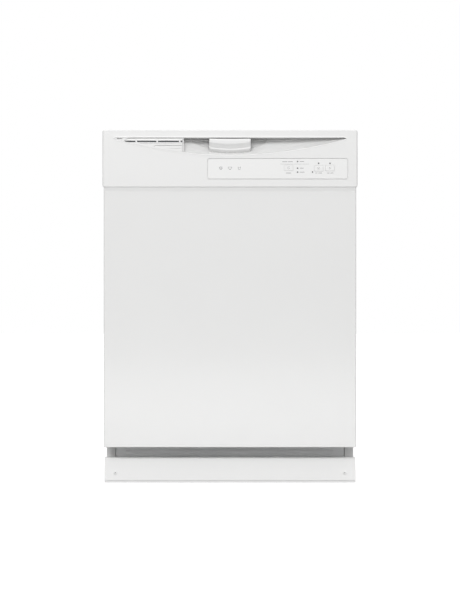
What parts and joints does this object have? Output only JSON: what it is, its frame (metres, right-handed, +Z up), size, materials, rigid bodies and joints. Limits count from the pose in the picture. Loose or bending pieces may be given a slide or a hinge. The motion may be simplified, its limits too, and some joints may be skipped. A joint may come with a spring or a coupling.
{
  "type": "built-in dishwasher",
  "caption": "White front-control built-in dishwasher with a drop-down door, curved pocket handle with a latch lever, sliding racks and spray arms.",
  "frame": {"origin": "on the floor, in the middle of the footprint", "axes": "+Z up, -Y out of the door, +X to the right as seen from the front"},
  "size_m": [0.61, 0.61, 0.848],
  "materials": {
    "white_plastic": "satin moulded white",
    "white_paint": "satin white enamel",
    "grey_plastic": "moulded light grey",
    "dark_plastic": "moulded dark grey",
    "lens": "smoked light lens",
    "steel": "bright steel",
    "zinc": "galvanised sheet",
    "rubber": "moulded rubber",
    "felt": "pressed felt and mastic",
    "rack_coat": "nylon coated wire",
    "circuit": "circuit board"
  },
  "bodies": {
    "cabinet": {"tub": "grey_plastic", "base_side_left": "zinc", "base_side_right": "zinc", "base_cross_front": "zinc", "base_cross_rear": "zinc", "toe_panel": "white_paint", "toe_screw_left": "steel", "toe_screw_right": "steel", "access_panel": "grey_plastic", "tub_gasket": "rubber", "insulation_blanket": "felt", "counter_bracket_left": "zinc", "counter_bracket_right": "zinc", "latch_strike": "steel", "sump": "dark_plastic", "filter_plate": "steel", "circulation_pump": "dark_plastic", "drain_pump": "dark_plastic", "inlet_valve": "grey_plastic", "junction_box": "zinc", "heating_element": "steel", "feed_tube": "grey_plastic", "rack_rail_left": "steel", "rack_rail_right": "steel", "door_spring_left": "steel", "door_spring_right": "steel"},
    "door": {"door_outer_panel": "white_paint", "door_inner_liner": "grey_plastic", "hinge_arm_left": "zinc", "hinge_arm_right": "zinc", "console": "white_plastic", "vent_grille": "white_plastic", "control_inset": "white_plastic", "light_pipe": "lens", "control_board": "circuit", "dispenser_body": "grey_plastic", "vent_cover": "grey_plastic"},
    "latch_handle": {"latch_handle": "white_plastic"},
    "latch_hook": {"latch_hook": "steel"},
    "key_cycle": {"key_cycle": "white_plastic"},
    "key_heated_dry": {"key_heated_dry": "white_plastic"},
    "key_start": {"key_start": "white_plastic"},
    "dispenser_lid": {"dispenser_lid": "grey_plastic"},
    "rinse_aid_cap": {"rinse_aid_cap": "dark_plastic"},
    "upper_rack": {"upper_rack": "rack_coat", "upper_spray_manifold": "grey_plastic"},
    "upper_spray_arm": {"upper_spray_arm": "grey_plastic"},
    "lower_rack": {"lower_rack": "rack_coat"},
    "cutlery_basket": {"cutlery_basket": "grey_plastic"},
    "rack_wheel_front_left": {"rack_wheel_front_left": "grey_plastic"},
    "rack_wheel_front_right": {"rack_wheel_front_right": "grey_plastic"},
    "rack_wheel_rear_left": {"rack_wheel_rear_left": "grey_plastic"},
    "rack_wheel_rear_right": {"rack_wheel_rear_right": "grey_plastic"},
    "lower_spray_arm": {"lower_spray_arm": "grey_plastic"},
    "float": {"float": "grey_plastic"},
    "filter_cylinder": {"filter_cylinder": "grey_plastic"},
    "leg_front_left": {"leg_front_left": "zinc"},
    "leg_front_right": {"leg_front_right": "zinc"},
    "leg_rear_left": {"leg_rear_left": "zinc"},
    "leg_rear_right": {"leg_rear_right": "zinc"}
  },
  "joints": [
    {"name": "door_hinge", "type": "hinge", "parent": "cabinet", "child": "door", "pos_m": [0, -0.268, 0.118], "axis": [1, 0, 0], "range_deg": [0, 90], "stiffness_Nm_per_rad": 14, "springref_deg": -6.88, "deforming": ["door_spring_left", "door_spring_right"]},
    {"name": "latch_handle_pull", "type": "hinge", "parent": "door", "child": "latch_handle", "pos_m": [0, -0.2955, 0.8255], "axis": [-1, 0, 0], "range_deg": [0, 18], "stiffness_Nm_per_rad": 0.6, "springref_deg": -11.46},
    {"name": "latch_hook_release", "type": "hinge", "parent": "door", "child": "latch_hook", "pos_m": [0, -0.27, 0.837], "axis": [-1, 0, 0], "range_deg": [0, 9], "stiffness_Nm_per_rad": 0.3, "springref_deg": -14.32},
    {"name": "key_cycle_press", "type": "slide", "parent": "door", "child": "key_cycle", "axis": [0, 1, 0], "range_m": [0, 0.0015], "stiffness_N_per_m": 600, "springref_m": -0.0006},
    {"name": "key_heated_dry_press", "type": "slide", "parent": "door", "child": "key_heated_dry", "axis": [0, 1, 0], "range_m": [0, 0.0015], "stiffness_N_per_m": 600, "springref_m": -0.0006},
    {"name": "key_start_press", "type": "slide", "parent": "door", "child": "key_start", "axis": [0, 1, 0], "range_m": [0, 0.0015], "stiffness_N_per_m": 600, "springref_m": -0.0006},
    {"name": "dispenser_lid_flip", "type": "hinge", "parent": "door", "child": "dispenser_lid", "pos_m": [-0.046, -0.2305, 0.358], "axis": [-1, 0, 0], "range_deg": [0, 95], "stiffness_Nm_per_rad": 0.05, "springref_deg": -34.38},
    {"name": "rinse_cap_turn", "type": "hinge", "parent": "door", "child": "rinse_aid_cap", "pos_m": [0.045, -0.23, 0.402], "axis": [0, 1, 0], "range_deg": [0, 90]},
    {"name": "upper_rack_slide", "type": "slide", "parent": "cabinet", "child": "upper_rack", "axis": [0, -1, 0], "range_m": [0, 0.456]},
    {"name": "lower_rack_slide", "type": "slide", "parent": "cabinet", "child": "lower_rack", "axis": [0, -1, 0], "range_m": [0, 0.126]},
    {"name": "basket_lift", "type": "slide", "parent": "lower_rack", "child": "cutlery_basket", "axis": [0, 0, 1], "range_m": [0, 0.11]},
    {"name": "upper_spray_spin", "type": "hinge", "parent": "upper_rack", "child": "upper_spray_arm", "pos_m": [0, 0.02, 0.44], "axis": [0, 0, 1], "continuous": true},
    {"name": "lower_spray_spin", "type": "hinge", "parent": "cabinet", "child": "lower_spray_arm", "pos_m": [0, 0.02, 0.162], "axis": [0, 0, 1], "continuous": true},
    {"name": "float_rise", "type": "slide", "parent": "cabinet", "child": "float", "axis": [0, 0, 1], "range_m": [0, 0.008]},
    {"name": "filter_twist", "type": "hinge", "parent": "cabinet", "child": "filter_cylinder", "pos_m": [0, 0.076, 0.114], "axis": [0, 0, 1], "range_deg": [0, 90]},
    {"name": "rack_wheel_front_left_roll", "type": "hinge", "parent": "lower_rack", "child": "rack_wheel_front_left", "pos_m": [-0.257, -0.155, 0.16], "axis": [1, 0, 0], "range_deg": [0, 415]},
    {"name": "rack_wheel_front_right_roll", "type": "hinge", "parent": "lower_rack", "child": "rack_wheel_front_right", "pos_m": [0.257, -0.155, 0.16], "axis": [1, 0, 0], "range_deg": [0, 415]},
    {"name": "rack_wheel_rear_left_roll", "type": "hinge", "parent": "lower_rack", "child": "rack_wheel_rear_left", "pos_m": [-0.257, 0.205, 0.16], "axis": [1, 0, 0], "range_deg": [0, 415]},
    {"name": "rack_wheel_rear_right_roll", "type": "hinge", "parent": "lower_rack", "child": "rack_wheel_rear_right", "pos_m": [0.257, 0.205, 0.16], "axis": [1, 0, 0], "range_deg": [0, 415]},
    {"name": "leg_front_left_screw", "type": "slide", "parent": "cabinet", "child": "leg_front_left", "axis": [0, 0, -1], "range_m": [0, 0.03]},
    {"name": "leg_front_right_screw", "type": "slide", "parent": "cabinet", "child": "leg_front_right", "axis": [0, 0, -1], "range_m": [0, 0.03]},
    {"name": "leg_rear_left_screw", "type": "slide", "parent": "cabinet", "child": "leg_rear_left", "axis": [0, 0, -1], "range_m": [0, 0.03]},
    {"name": "leg_rear_right_screw", "type": "slide", "parent": "cabinet", "child": "leg_rear_right", "axis": [0, 0, -1], "range_m": [0, 0.03]}
  ],
  "couplings": [
    {"joint": "latch_hook_release", "follows": "latch_handle_pull", "ratio": 0.5},
    {"joint": "upper_rack_slide", "follows": "door_hinge", "m_per_rad": 0.29},
    {"joint": "lower_rack_slide", "follows": "door_hinge", "m_per_rad": 0.08},
    {"joint": "rack_wheel_front_left_roll", "follows": "door_hinge", "ratio": 4.5714},
    {"joint": "rack_wheel_front_right_roll", "follows": "door_hinge", "ratio": 4.5714},
    {"joint": "rack_wheel_rear_left_roll", "follows": "door_hinge", "ratio": 4.5714},
    {"joint": "rack_wheel_rear_right_roll", "follows": "door_hinge", "ratio": 4.5714}
  ]
}
